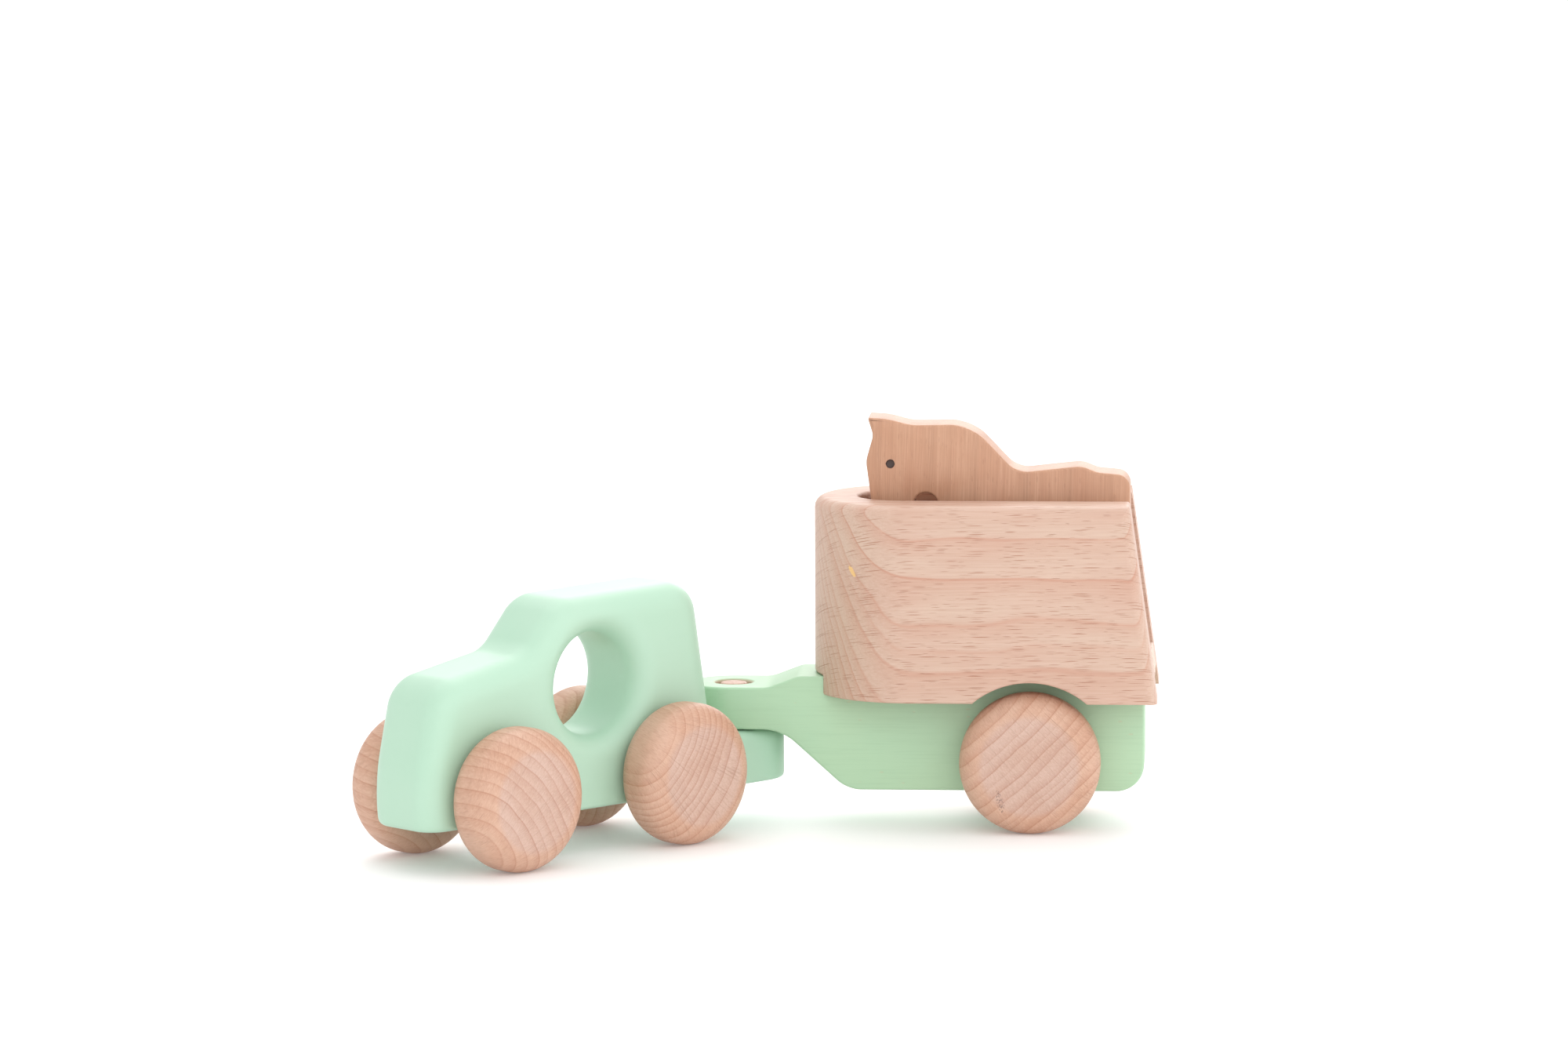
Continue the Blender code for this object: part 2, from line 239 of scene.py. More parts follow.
def spread(tree, value, fromLow, fromHigh, toLow=0.0, toHigh=1.0, soft=False):
    knot = tree.nodes.new("ShaderNodeMapRange")
    knot.interpolation_type = "SMOOTHSTEP" if soft else "LINEAR"
    for number, socket in zip((value, fromLow, fromHigh, toLow, toHigh), knot.inputs):
        plug(tree, number, socket)
    return knot.outputs[0]


def blendColour(tree, share, first, second, way="MIX"):
    knot = tree.nodes.new("ShaderNodeMix")
    knot.data_type = "RGBA"
    knot.blend_type = way
    plug(tree, share, knot.inputs[0])
    for value, socket in ((first, knot.inputs[6]), (second, knot.inputs[7])):
        plug(tree, value if isinstance(value, bpy.types.NodeSocket) else (*value, 1), socket)
    return knot.outputs[2]


def scaled(tree, vector, scale):
    knot = tree.nodes.new("ShaderNodeMapping")
    plug(tree, vector, knot.inputs["Vector"])
    knot.inputs["Scale"].default_value = scale
    return knot.outputs[0]


def noise(tree, vector, detail=2.0, rough=0.5):
    knot = tree.nodes.new("ShaderNodeTexNoise")
    plug(tree, vector, knot.inputs["Vector"])
    knot.inputs["Scale"].default_value = 1.0
    knot.inputs["Detail"].default_value = detail
    knot.inputs["Roughness"].default_value = rough
    return knot.outputs["Fac"]


def pieceSpace(tree, place, axes):
    # a point seen from a piece's own middle, along its own three axes
    where = tree.nodes.new("ShaderNodeTexCoord")
    knot = tree.nodes.new("ShaderNodeMapping")
    knot.vector_type = "TEXTURE"
    tree.links.new(where.outputs["Object"], knot.inputs["Vector"])
    knot.inputs["Location"].default_value = place
    turn = Matrix([axis.normalized() for axis in axes]).transposed()
    knot.inputs["Rotation"].default_value = turn.to_euler()
    return knot.outputs[0]


def startMaterial(name):
    material = bpy.data.materials.new(name)
    material.use_nodes = True
    tree = material.node_tree
    return material, tree, tree.nodes["Principled BSDF"]


def addBump(tree, shader, height, depth):
    bump = tree.nodes.new("ShaderNodeBump")
    bump.inputs["Strength"].default_value = 1.0
    bump.inputs["Distance"].default_value = depth
    plug(tree, height, bump.inputs["Height"])
    tree.links.new(bump.outputs[0], shader.inputs["Normal"])


def ringPattern(tree, distance, look):
    # growth rings: each one darkens outwards and stops at a crisp line; places are shares of a span
    span = look["ringSpan"]
    share = sums(tree, "FRACT", sums(tree, "DIVIDE", distance, span))
    tone = None
    for first in range(0, len(look["rings"]), ringsPerRamp):
        ramp = tree.nodes.new("ShaderNodeValToRGB")
        stops = ramp.color_ramp.elements
        stops[0].position, stops[0].color = 0.0, (0, 0, 0, 1)
        stops[1].position, stops[1].color = 1.0, (0, 0, 0, 1)
        some = look["rings"][first:first + ringsPerRamp]
        for index, (spot, depth) in enumerate(some, first):
            line = look["ringLine"] / span
            gap = spot - look["rings"][index - 1][0] if index else spot
            fade = min(look["ringFade"] / span, 0.8 * gap)
            shape = ((spot - fade, 0.0), (spot - 1.5 * line, depth * look["ringBody"]),
                     (spot, depth), (spot + line, 0.0))
            for at, level in shape:
                stops.new(min(max(at, 0.001), 0.999)).color = (level, level, level, 1)
        plug(tree, share, ramp.inputs[0])
        tone = ramp.outputs[0] if tone is None else sums(tree, "MAXIMUM", tone, ramp.outputs[0])
    return tone


def spotMask(tree, place, radii, turn=(0, 0, 0), ragged=0.0):
    # 1 inside a soft-edged oval round a place, and 0 outside
    where = tree.nodes.new("ShaderNodeTexCoord")
    knot = tree.nodes.new("ShaderNodeMapping")
    knot.vector_type = "TEXTURE"
    tree.links.new(where.outputs["Object"], knot.inputs["Vector"])
    knot.inputs["Location"].default_value = place
    knot.inputs["Rotation"].default_value = turn
    knot.inputs["Scale"].default_value = radii
    length = tree.nodes.new("ShaderNodeVectorMath")
    length.operation = "LENGTH"
    tree.links.new(knot.outputs[0], length.inputs[0])
    rough = noise(tree, scaled(tree, where.outputs["Object"], raggedScale))
    wobble = sums(tree, "SUBTRACT", rough, 0.5)
    reach = sums(tree, "ADD", length.outputs["Value"], sums(tree, "MULTIPLY", wobble, ragged))
    return spread(tree, reach, 1.12, 0.92, soft=True)


def woodMaterial(name, look, place):
    # wood in the round: every pattern follows the fibres, the rings and the rays of one plank
    material, tree, shader = startMaterial(name)
    fibre = Vector(look["fibre"]).normalized()
    outward = Vector(look["outward"])
    outward = (outward - fibre * outward.dot(fibre)).normalized()
    own = pieceSpace(tree, place, (fibre, outward, fibre.cross(outward)))
    split = tree.nodes.new("ShaderNodeSeparateXYZ")
    tree.links.new(own, split.inputs[0])
    along, out, side = split.outputs
    wave = noise(tree, scaled(tree, own, look["waveScale"]), 2.0)
    reach = sums(tree, "ADD", out, look["pith"])
    radius = sums(tree, "SQRT", sums(tree, "ADD", sums(tree, "MULTIPLY", reach, reach),
                                     sums(tree, "MULTIPLY", side, side)))
    around = sums(tree, "MULTIPLY", sums(tree, "ARCTAN2", side, reach), look["pith"])
    wavy = sums(tree, "ADD", sums(tree, "SUBTRACT", radius, look["pith"]),
                sums(tree, "MULTIPLY", sums(tree, "SUBTRACT", wave, 0.5), look["waveDepth"]))
    ringTone = ringPattern(tree, sums(tree, "ADD", wavy, look["ringShift"]), look)
    join = tree.nodes.new("ShaderNodeCombineXYZ")
    for value, socket in zip((along, wavy, around), join.inputs):
        tree.links.new(value, socket)
    grain = join.outputs[0]

    cloud = noise(tree, scaled(tree, grain, cloudScale), 3.0)
    base = blendColour(tree, spread(tree, cloud, 0.3, 0.7), look["light"], look["warm"])
    ringShare = sums(tree, "MULTIPLY", ringTone, look["ringStrength"])
    base = blendColour(tree, ringShare, base, look["dark"])
    fine = noise(tree, scaled(tree, grain, look["fineScale"]), 3.0, 0.65)
    for limit, colour in ((0.72, look["pore"]), (0.24, look["pale"])):
        # the low half of the fine noise makes pale streaks and the high half pores
        share = spread(tree, fine, 0.46, limit, 0.0, look["fineStrength"])
        base = blendColour(tree, share, base, colour)
    height = sums(tree, "MULTIPLY", fine, -0.4)

    flat = tree.nodes.new("ShaderNodeCombineXYZ")
    for value, socket in zip((along, around), flat.inputs):
        tree.links.new(value, socket)
    for length, width, size, share, strength in look["flecks"]:
        # lens-shaped rays: dashes on a side cut, and fine lines out from the heart on end grain
        spots = tree.nodes.new("ShaderNodeTexVoronoi")
        spots.voronoi_dimensions = "2D"
        spots.inputs["Scale"].default_value = 1.0
        cells = scaled(tree, flat.outputs[0], (1 / length, 1 / width, 1))
        plug(tree, cells, spots.inputs["Vector"])
        chance = tree.nodes.new("ShaderNodeSeparateXYZ")
        tree.links.new(spots.outputs["Color"], chance.inputs[0])
        grown = spread(tree, chance.outputs[0], 1 - share, 1.0, 0.35, 1.0)
        edge = sums(tree, "MULTIPLY", grown, size)
        reached = sums(tree, "DIVIDE", spots.outputs["Distance"], edge)
        mark = spread(tree, reached, 1.0, 0.4, soft=True)
        chosen = sums(tree, "GREATER_THAN", chance.outputs[0], 1 - share)
        mark = sums(tree, "MULTIPLY", mark, chosen)
        mark = sums(tree, "MULTIPLY", mark, spread(tree, chance.outputs[1], 0.0, 1.0, 0.35, 1.0))
        base = blendColour(tree, sums(tree, "MULTIPLY", mark, strength), base, look["pore"])
        height = sums(tree, "SUBTRACT", height, mark)

    for extra in look.get("extras", []):
        base = extra(tree, base)
    tree.links.new(base, shader.inputs["Base Color"])
    rough = spread(tree, fine, 0.3, 0.8, look["roughness"] - 0.06, look["roughness"] + 0.08)
    tree.links.new(rough, shader.inputs["Roughness"])
    shader.inputs["Specular IOR Level"].default_value = woodSpecular
    addBump(tree, shader, height, look["bump"])
    return material


def paintMaterial(name, look, place, axes):
    material, tree, shader = startMaterial(name)
    own = pieceSpace(tree, place, axes)
    cloud = noise(tree, scaled(tree, own, paintClouds), 3.0)
    grain = noise(tree, scaled(tree, own, look["grainScale"]), 4.0, 0.6)
    base = blendColour(tree, spread(tree, cloud, 0.35, 0.7), look["colour"], look["second"])
    show = spread(tree, grain, 0.5, 0.78, 0.0, look["grainShow"])
    base = blendColour(tree, show, base, look["shade"])
    specks = tree.nodes.new("ShaderNodeTexVoronoi")
    specks.inputs["Scale"].default_value = 1.0
    plug(tree, scaled(tree, own, look["speckScale"]), specks.inputs["Vector"])
    chance = tree.nodes.new("ShaderNodeSeparateXYZ")
    tree.links.new(specks.outputs["Color"], chance.inputs[0])
    size = look["speckSize"]
    mark = spread(tree, specks.outputs["Distance"], size, size * 0.5, soft=True)
    chosen = sums(tree, "GREATER_THAN", chance.outputs[0], 1 - look["speckShare"])
    mark = sums(tree, "MULTIPLY", mark, chosen)
    show = sums(tree, "MULTIPLY", mark, look["speckShow"])
    base = blendColour(tree, show, base, look["speckColour"])
    if "bareHole" in look:
        # no paint in the drilled hole
        spot, radii = look["bareHole"]
        base = blendColour(tree, spotMask(tree, spot, radii), base, look["bareWood"])
    tree.links.new(base, shader.inputs["Base Color"])
    rough = spread(tree, cloud, 0.2, 0.8, look["roughness"] - 0.04, look["roughness"] + 0.05)
    tree.links.new(rough, shader.inputs["Roughness"])
    shader.inputs["Specular IOR Level"].default_value = paintSpecular
    shader.inputs["Coat Weight"].default_value = look["coat"]
    shader.inputs["Coat Roughness"].default_value = coatRoughness
    height = sums(tree, "SUBTRACT", sums(tree, "MULTIPLY", grain, 0.5), mark)
    addBump(tree, shader, height, look["bump"])
    return material


carAxes = [carSpin @ Vector(axis) for axis in ((1, 0, 0), (0, 1, 0), (0, 0, 1))]
plainAxes = [Vector((1, 0, 0)), Vector((0, 1, 0)), Vector((0, 0, 1))]

# the car: one thick block with soft edges, a low platform behind it and a round window through it
car = {
    "halfWidth": 0.0163,
    "floor": 0.0148,
    "outline": [(-0.1570, 0.0065, 0), (-0.1598, 0.0290, 0.060), (-0.1515, 0.0652, 0.0130),
                (-0.1105, 0.0722, 0.0130), (-0.0950, 0.0895, 0.0130), (-0.0310, 0.0905, 0.0120),
                (-0.0225, 0.0400, 0.050), (-0.0225, 0.0065, 0)],
    "edgeRound": 0.0090,
    "floorRound": 0.0022,
    "platformTop": 0.0338,
    "platformStart": -0.0420,
    "platformEnd": 0.0187,
    "platformInset": 0.00015,
    "platformRound": 0.0040,
    "platformEase": 0.0006,
    "windowPlace": (-0.0785, 0.0582),
    "windowRadius": 0.0180,
    "windowFlare": 0.0085,
    "windowSteps": 14,
    "windowRunOut": 0.0040,
    "axles": (-0.0488, -0.1271),
    "boreRadius": 0.0039,
    "boreReach": 0.0300,
    "pegRadius": 0.0051,
    "pegFoot": 0.0195,
    "voxel": 0.00068,
    "smoothing": 6,
}
carPaint = {
    "colour": (0.430, 0.640, 0.490), "second": (0.450, 0.650, 0.505), "shade": (0.39, 0.59, 0.45),
    "grainScale": (30, 300, 300), "grainShow": 0.10,
    "speckScale": (160, 160, 160), "speckSize": 0.16, "speckShare": 0.012, "speckShow": 0.5,
    "speckColour": (0.24, 0.42, 0.33), "roughness": 0.42, "coat": 0.12, "bump": 0.00003,
}


def windowCutter(look):
    half, throat = look["halfWidth"], look["halfWidth"] - look["windowFlare"]
    reach = look["windowRadius"] + look["windowFlare"]
    bm = rod(look["windowRadius"], -half, half, segments=96)
    ends = [face for face in bm.faces if len(face.verts) > 4]
    for face in ends:
        # the rim opens out in a quarter round, and the cutter runs on past the side
        sign = 1 if face.calc_center_median().z > 0 else -1
        bmesh.ops.translate(bm, verts=face.verts, vec=(0, 0, sign * (throat - half)))
    steps = look["windowSteps"]
    for face in ends:
        sign = 1 if face.calc_center_median().z > 0 else -1
        for step in range(1, steps + 2):
            angle = min(step, steps) / steps * math.pi / 2
            width = reach - look["windowFlare"] * math.cos(angle)
            height = throat + look["windowFlare"] * math.sin(angle)
            if step > steps:
                height += look["windowRunOut"]
            grown = bmesh.ops.extrude_face_region(bm, geom=[face])
            top = vertsOf(grown["geom"])
            face = next(part for part in grown["geom"] if isinstance(part, bmesh.types.BMFace))
            for vert in top:
                flat = Vector((vert.co.x, vert.co.y)).normalized() * width
                vert.co = (flat.x, flat.y, sign * height)
    inner = [face for face in bm.faces
             if len(face.verts) > 4 and abs(face.calc_center_median().z) < half]
    bmesh.ops.delete(bm, geom=inner, context="FACES_ONLY")
    bmesh.ops.rotate(bm, verts=bm.verts, cent=(0, 0, 0), matrix=quarterTurn())
    x, z = look["windowPlace"]
    bmesh.ops.translate(bm, verts=bm.verts, vec=(x, 0, z))
    tidyShell(bm)
    return bm


def makeCar(look):
    half = look["halfWidth"]
    bm = block(look["outline"], -half, half)
    roundEdges(bm, faceEdges(bm, 1, (-half, half)), look["edgeRound"], 10)
    sliceOff(bm, (0, 0, look["floor"]), (0, 0, -1))
    roundEdges(bm, faceEdges(bm, 2, (look["floor"],)), look["floorRound"], 5)
    shell = looseObject("carBody", bm)
    carve(shell, windowCutter(look))
    for x in look["axles"]:
        bore = rod(look["boreRadius"], -look["boreReach"], look["boreReach"], axis="Y")
        carve(shell, moved(bore, (x, 0, wheelHeight)))
    inset = look["platformInset"]
    side = half - inset
    start, end = look["platformStart"], look["platformEnd"] - inset
    low, high = look["floor"] + inset, look["platformTop"]
    nose = side * tongueRound
    plate = block([(end, -side, nose), (end, side, nose), (start, side, 0), (start, -side, 0)],
                  low, high, upright=True)
    roundEdges(plate, faceEdges(plate, 2, (high,)), look["platformRound"], 6)
    roundEdges(plate, faceEdges(plate, 2, (low,)), look["platformEase"], 2)
    shelf = looseObject("shelf", plate)
    carve(shelf, rod(look["pegRadius"], look["pegFoot"], high + 0.01))
    reshape(shell, lambda bm: bm.from_mesh(shelf.data))
    bpy.data.objects.remove(shelf, do_unlink=True)
    # paint fills and softens every meeting of surfaces
    melt = shell.modifiers.new("melt", "REMESH")
    melt.mode = "VOXEL"
    melt.voxel_size = look["voxel"]
    applyModifiers(shell)

    def relax(bm):
        for passes in range(look["smoothing"]):
            bmesh.ops.smooth_vert(bm, verts=bm.verts, factor=0.5, use_axis_x=True,
                                  use_axis_y=True, use_axis_z=True)
        moved(bm, pinPlace, carSpin)

    reshape(shell, relax)
    material = paintMaterial("mintPaintCar", carPaint, pinPlace, carAxes)
    finishPiece(shell, material, "car", "car_body")


makeCar(car)

# wheels: turned from planks cut across, so the faces show end grain
wheel = {"radius": 0.0250, "thickness": 0.0200, "rimRound": 0.0082, "holeRadius": 0.0035,
         "holeDepth": 0.0100, "segments": 128}
axleRod = {"radius": 0.0032, "ease": 0.0005}
wheelWood = {
    "light": (0.620, 0.425, 0.345), "warm": (0.580, 0.370, 0.285), "dark": (0.40, 0.175, 0.105),
    "pore": (0.36, 0.195, 0.135), "pale": (0.78, 0.62, 0.52), "pith": 0.075, "ringSpan": 0.0540,
    "ringShift": 0.0270,
    "rings": [(0.06, 0.6), (0.12, 0.8), (0.18, 0.5), (0.25, 0.9), (0.33, 0.6), (0.41, 0.9),
              (0.49, 0.7), (0.56, 0.9), (0.63, 0.7), (0.70, 0.9), (0.76, 0.7), (0.82, 0.9),
              (0.88, 0.7), (0.94, 0.8)],
    "ringFade": 0.0030, "ringLine": 0.00024, "ringBody": 0.42, "ringStrength": 0.72,
    "waveScale": (30, 90, 70), "waveDepth": 0.0022,
    "fineScale": (220, 900, 2600), "fineStrength": 0.26,
    "flecks": [(0.0060, 0.00105, 0.28, 0.9, 0.30), (0.0040, 0.00065, 0.30, 0.9, 0.20)],
    "roughness": 0.50, "bump": 0.00005,
}
# the sawn flat is paler and pinker than the turned rim round it
wheelFlat = {"radius": 0.0172, "rimTint": (1.0, 0.92, 0.83), "flatTint": (0.98, 0.99, 1.0)}


def darkSpecks(tree, base):
    # fine dark mineral specks low on one trailer wheel
    place = middleOf("trailer_wheel_left") + Vector((-0.0102, -0.0100, -0.0125))
    near = spotMask(tree, place, (0.0012, 0.0100, 0.0040), (0, -0.25, 0), ragged=1.0)
    where = tree.nodes.new("ShaderNodeTexCoord")
    fine = noise(tree, scaled(tree, where.outputs["Object"], (2600, 400, 1500)), 2.0)
    mask = sums(tree, "MULTIPLY", near, spread(tree, fine, 0.50, 0.62, 0.0, 0.7))
    return blendColour(tree, mask, base, (0.16, 0.10, 0.09))


# how each wheel's plank lay: fibre and outward ring direction, seen from the wheel's outer side
wheelPlanks = {
    "front_wheel_left": {
        "fibre": (0.10, 1, -0.06), "outward": (0.76, 0, 0.65), "pith": 0.052,
        "rings": [(0.10, 0.6), (0.17, 0.8), (0.25, 0.6), (0.34, 1.0), (0.41, 0.6), (0.49, 0.8),
                  (0.555, 0.6), (0.62, 0.9), (0.69, 0.7), (0.76, 0.9), (0.82, 0.7),
                  (0.865, 0.9), (0.905, 0.7), (0.95, 0.9)]},
    "rear_wheel_left": {
        "fibre": (0.25, 1, 0.10), "outward": (0.80, 0, -0.60), "pith": 0.048,
        "rings": [(0.16, 0.5), (0.23, 0.9), (0.29, 0.6), (0.34, 0.9), (0.39, 0.7), (0.435, 0.9),
                  (0.485, 0.9), (0.54, 1.0), (0.595, 0.8), (0.66, 1.0), (0.75, 0.9), (0.87, 0.8)]},
    "trailer_wheel_left": {
        "fibre": (0.05, 1, 0.03), "outward": (0.68, 0, -0.73), "pith": 0.260,
        "rings": [(0.060, 0.8), (0.135, 0.8), (0.220, 1.0), (0.296, 0.5), (0.368, 1.0),
                  (0.435, 0.4), (0.504, 0.9), (0.569, 0.8), (0.659, 0.9), (0.704, 0.5),
                  (0.741, 0.8), (0.820, 1.0), (0.889, 0.8), (0.950, 0.7)],
        "marks": [darkSpecks]},
    "front_wheel_right": {"fibre": (-0.12, 1, 0.20), "outward": (0.5, 0, 0.86), "pith": 0.055},
    "rear_wheel_right": {"fibre": (0.15, 1, -0.10), "outward": (-0.9, 0, 0.43), "pith": 0.080},
    "trailer_wheel_right": {"fibre": (-0.05, 1, 0.12), "outward": (0.7, 0, 0.7), "pith": 0.120},
}


def makeWheel(node, body, inwards, spin):
    look = wheel
    half = look["thickness"] / 2
    bm = rod(look["radius"], -half, half, segments=look["segments"])
    roundEdges(bm, faceEdges(bm, 2, (-half, half)), look["rimRound"], 12)
    ends = [face for face in bm.faces if len(face.verts) > 4]
    inner = max(ends, key=lambda face: face.calc_center_median().z)
    flat = look["radius"] - look["rimRound"]
    bmesh.ops.inset_individual(bm, faces=[inner], thickness=flat - look["holeRadius"])
    pullUp(bm, inner, (0, 0, -look["holeDepth"]))
    bmesh.ops.rotate(bm, verts=bm.verts, cent=(0, 0, 0), matrix=quarterTurn(-inwards))
    centre = middleOf(node)
    moved(bm, centre, spin)
    tidyShell(bm)
    plank = dict(wheelWood, **wheelPlanks[node])
    plank["fibre"] = spin @ Vector(plank["fibre"])
    plank["outward"] = spin @ Vector(plank["outward"])
    first, *others = node.split("_")
    name = first + "".join(part.capitalize() for part in others)
    turn = (0, 0, carTurn if spin is carSpin else 0)

    def rimTone(tree, base):
        mask = spotMask(tree, centre, (wheelFlat["radius"], endless, wheelFlat["radius"]), turn)
        tint = blendColour(tree, mask, wheelFlat["rimTint"], wheelFlat["flatTint"])
        return blendColour(tree, 1.0, base, tint, "MULTIPLY")

    plank["extras"] = [rimTone] + plank.get("marks", [])
    material = woodMaterial(f"{name}Wood", plank, centre)
    finishPiece(looseObject(name, bm), material, body, node)


rodWood = dict(wheelWood, fibre=(0, 1, 0), outward=(0, 0, 1), ringStrength=0.3)


def makeRod(name, node, body, spin):
    low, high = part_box(node)
    run = high - low
    reach = run.y / 2
    if spin is carSpin:
        # the box of a turned rod also holds its thickness
        reach = (reach - axleRod["radius"] * abs(carAxes[0].y)) / abs(carAxes[1].y)
    bm = rod(axleRod["radius"], -reach, reach, axis="Y")
    roundEdges(bm, faceEdges(bm, 1, (-reach, reach)), axleRod["ease"], 3)
    moved(bm, middleOf(node), spin)
    grain = dict(rodWood, fibre=spin @ Vector((0, 1, 0)))
    material = woodMaterial(f"{name}Wood", grain, middleOf(node))
    finishPiece(looseObject(name, bm), material, body, node)


straight = Matrix.Identity(3)
for axle, spin in (("front", carSpin), ("rear", carSpin), ("trailer", straight)):
    body = f"{axle}_axle_set"
    makeRod(f"{axle}Axle", f"{axle}_axle", body, spin)
    makeWheel(f"{axle}_wheel_left", body, 1, spin)
    makeWheel(f"{axle}_wheel_right", body, -1, spin)
print("wheels and axles made")

# the peg that the tongue drops over
peg = {"radius": 0.0048, "ease": 0.0008}
pegWood = dict(wheelWood, fibre=(0, 0, 1), outward=(1, 0.3, 0), pith=0.02, ringStrength=0.6)


def makePeg(look):
    low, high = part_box("hitch_pin")
    bm = rod(look["radius"], low.z, high.z)
    roundEdges(bm, faceEdges(bm, 2, (low.z, high.z)), look["ease"], 4)
    moved(bm, pinPlace)
    material = woodMaterial("pegWood", pegWood, middleOf("hitch_pin"))
    finishPiece(looseObject("hitchPeg", bm), material, "hitch", "hitch_pin")


makePeg(peg)

# the trailer's base board, cut with its raised tongue
base = {
    "halfWidth": 0.0155,
    "outline": [(-0.0200, 0.0343, 0), (0.0178, 0.0343, 0.016), (0.0415, 0.0129, 0.012),
                (0.1470, 0.0129, 0.0100), (0.1470, 0.0536, 0.0010), (0.0240, 0.0536, 0.006),
                (0.0130, 0.0494, 0.010), (-0.0200, 0.0494, 0)],
    "ease": 0.0010,
    "pinHole": 0.0067,
    "cutLength": 0.1600, "cutHeight": 0.1000,
    "boreRadius": 0.0039,
    "boreReach": 0.0300,
}
basePaint = {
    "colour": (0.395, 0.600, 0.405), "second": (0.425, 0.610, 0.405), "shade": (0.34, 0.52, 0.34),
    "grainScale": (45, 1500, 1300), "grainShow": 0.45,
    "speckScale": (260, 700, 700), "speckSize": 0.28, "speckShare": 0.06, "speckShow": 0.35,
    "speckColour": (0.55, 0.50, 0.33), "roughness": 0.44, "coat": 0.1, "bump": 0.00006,
    "bareWood": (0.66, 0.47, 0.35),
}


def makeBase(look):
    half = look["halfWidth"]
    board = looseObject("trailerBase", block(look["outline"], -half, half))
    nose, far = half * tongueRound, look["cutLength"]
    tongue = block([(-half, -half, nose), (far, -half, 0), (far, half, 0), (-half, half, nose)],
                   0, look["cutHeight"], upright=True)
    bmesh.ops.scale(tongue, verts=tongue.verts, vec=(1, 1.0001, 1))
    carve(board, tongue, "INTERSECT")
    carve(board, rod(look["pinHole"], 0.02, 0.06, segments=64))
    reshape(board, lambda bm: roundEdges(bm, sharpEdges(bm), look["ease"], 3))
    axle = middleOf("trailer_axle") - pinPlace
    bore = rod(look["boreRadius"], -look["boreReach"], look["boreReach"], axis="Y")
    carve(board, moved(bore, axle))
    reshape(board, lambda bm: moved(bm, pinPlace))
    bare = look["pinHole"] + 0.0001
    paint = dict(basePaint, bareHole=(pinPlace, (bare, bare, endless)))
    material = paintMaterial("mintPaintBase", paint, pinPlace, plainAxes)
    finishPiece(board, material, "trailer", "trailer_base")


makeBase(base)

# the horse box: round in front, open behind, with a slot along its middle
box = {
    "half": 0.0352, "front": 0.0293, "low": 0.0470, "high": 0.1169,
    "rearLow": 0.1517, "rearHigh": 0.1418,
    "slotHalf": 0.0158, "slotFront": 0.0450,
    "edgeRound": 0.0040, "rimEase": 0.0014, "underEase": 0.0009,
    "notchFrom": 0.0200, "notchTo": 0.0700, "notchTop": 0.0539,
    "archRadius": 0.0310, "archHeight": 0.0235,
    "uncut": 0.1800,   # the block's length before its rear is sawn off at a slope
}
boxWood = {
    "fibre": (1, 0, 0.012), "outward": (0, -0.93, 0.37), "pith": 0.30,
    "light": (0.615, 0.445, 0.350), "warm": (0.595, 0.400, 0.312), "dark": (0.50, 0.220, 0.140),
    "pore": (0.40, 0.190, 0.120), "pale": (0.76, 0.60, 0.50),
    "ringSpan": 0.0660, "ringShift": 0.0140,
    "rings": [(0.022, 0.5), (0.060, 0.7), (0.090, 0.5), (0.130, 0.8), (0.160, 0.5), (0.198, 0.7),
              (0.227, 0.6), (0.265, 0.8), (0.295, 0.5), (0.325, 0.8), (0.364, 0.6), (0.395, 0.8),
              (0.432, 0.6), (0.470, 0.9), (0.508, 0.7), (0.545, 0.7), (0.612, 0.9), (0.650, 0.45),
              (0.685, 0.75), (0.754, 0.9), (0.841, 0.85), (0.905, 0.6), (0.960, 0.7)],
    "ringFade": 0.0034, "ringLine": 0.00020, "ringBody": 0.46, "ringStrength": 0.78,
    "waveScale": (14, 60, 30), "waveDepth": 0.0042,
    "fineScale": (40, 1900, 1900), "fineStrength": 0.20,
    "flecks": [(0.0190, 0.00076, 0.24, 0.8, 1.00), (0.0130, 0.00064, 0.22, 0.7, 0.75)],
    "roughness": 0.48, "bump": 0.00005,
}


def gumFleck(tree, base):
    # a small yellow fleck in the wood near the upper front
    place = pinPlace + Vector((0.0441, -0.0290, 0.0932))
    mask = spotMask(tree, place, (0.0007, 0.0030, 0.0022), (0, -0.52, 0), ragged=0.6)
    return blendColour(tree, sums(tree, "MULTIPLY", mask, 0.75), base, (0.87, 0.56, 0.20))


boxWood["extras"] = [gumFleck]


def rearLean(look):
    lean = Vector((look["rearLow"] - look["rearHigh"], 0, look["high"] - look["low"]))
    return Vector((lean.z, 0, lean.x)).normalized()


